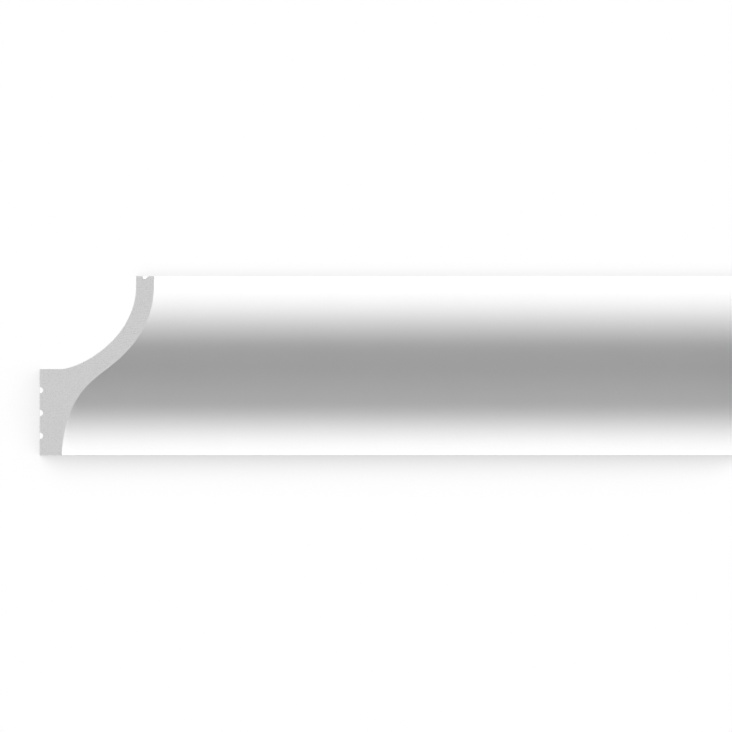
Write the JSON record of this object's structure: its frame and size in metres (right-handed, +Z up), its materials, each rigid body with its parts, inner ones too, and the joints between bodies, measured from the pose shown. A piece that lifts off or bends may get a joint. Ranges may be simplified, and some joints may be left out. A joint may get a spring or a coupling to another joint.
{
  "type": "crown moulding length",
  "caption": "S-curved crown moulding for the corner of wall and ceiling, hollow behind, with grooves for glue; left end mitred for an inside corner, right end square.",
  "frame": {"origin": "on the face that is glued to the wall, at mid-length, midway between the two upper glue grooves, 33 mm above the underside", "axes": "+X along the moulding from the mitred end to the square end, +Y into the wall, +Z up to the ceiling; the room is on the -Y side"},
  "size_m": [0.43, 0.07, 0.11],
  "materials": {
    "primed_polymer": "factory white primer, matt, on rigid polymer foam"
  },
  "bodies": {
    "root": {"crown_moulding": "primed_polymer"}
  },
  "joints": []
}
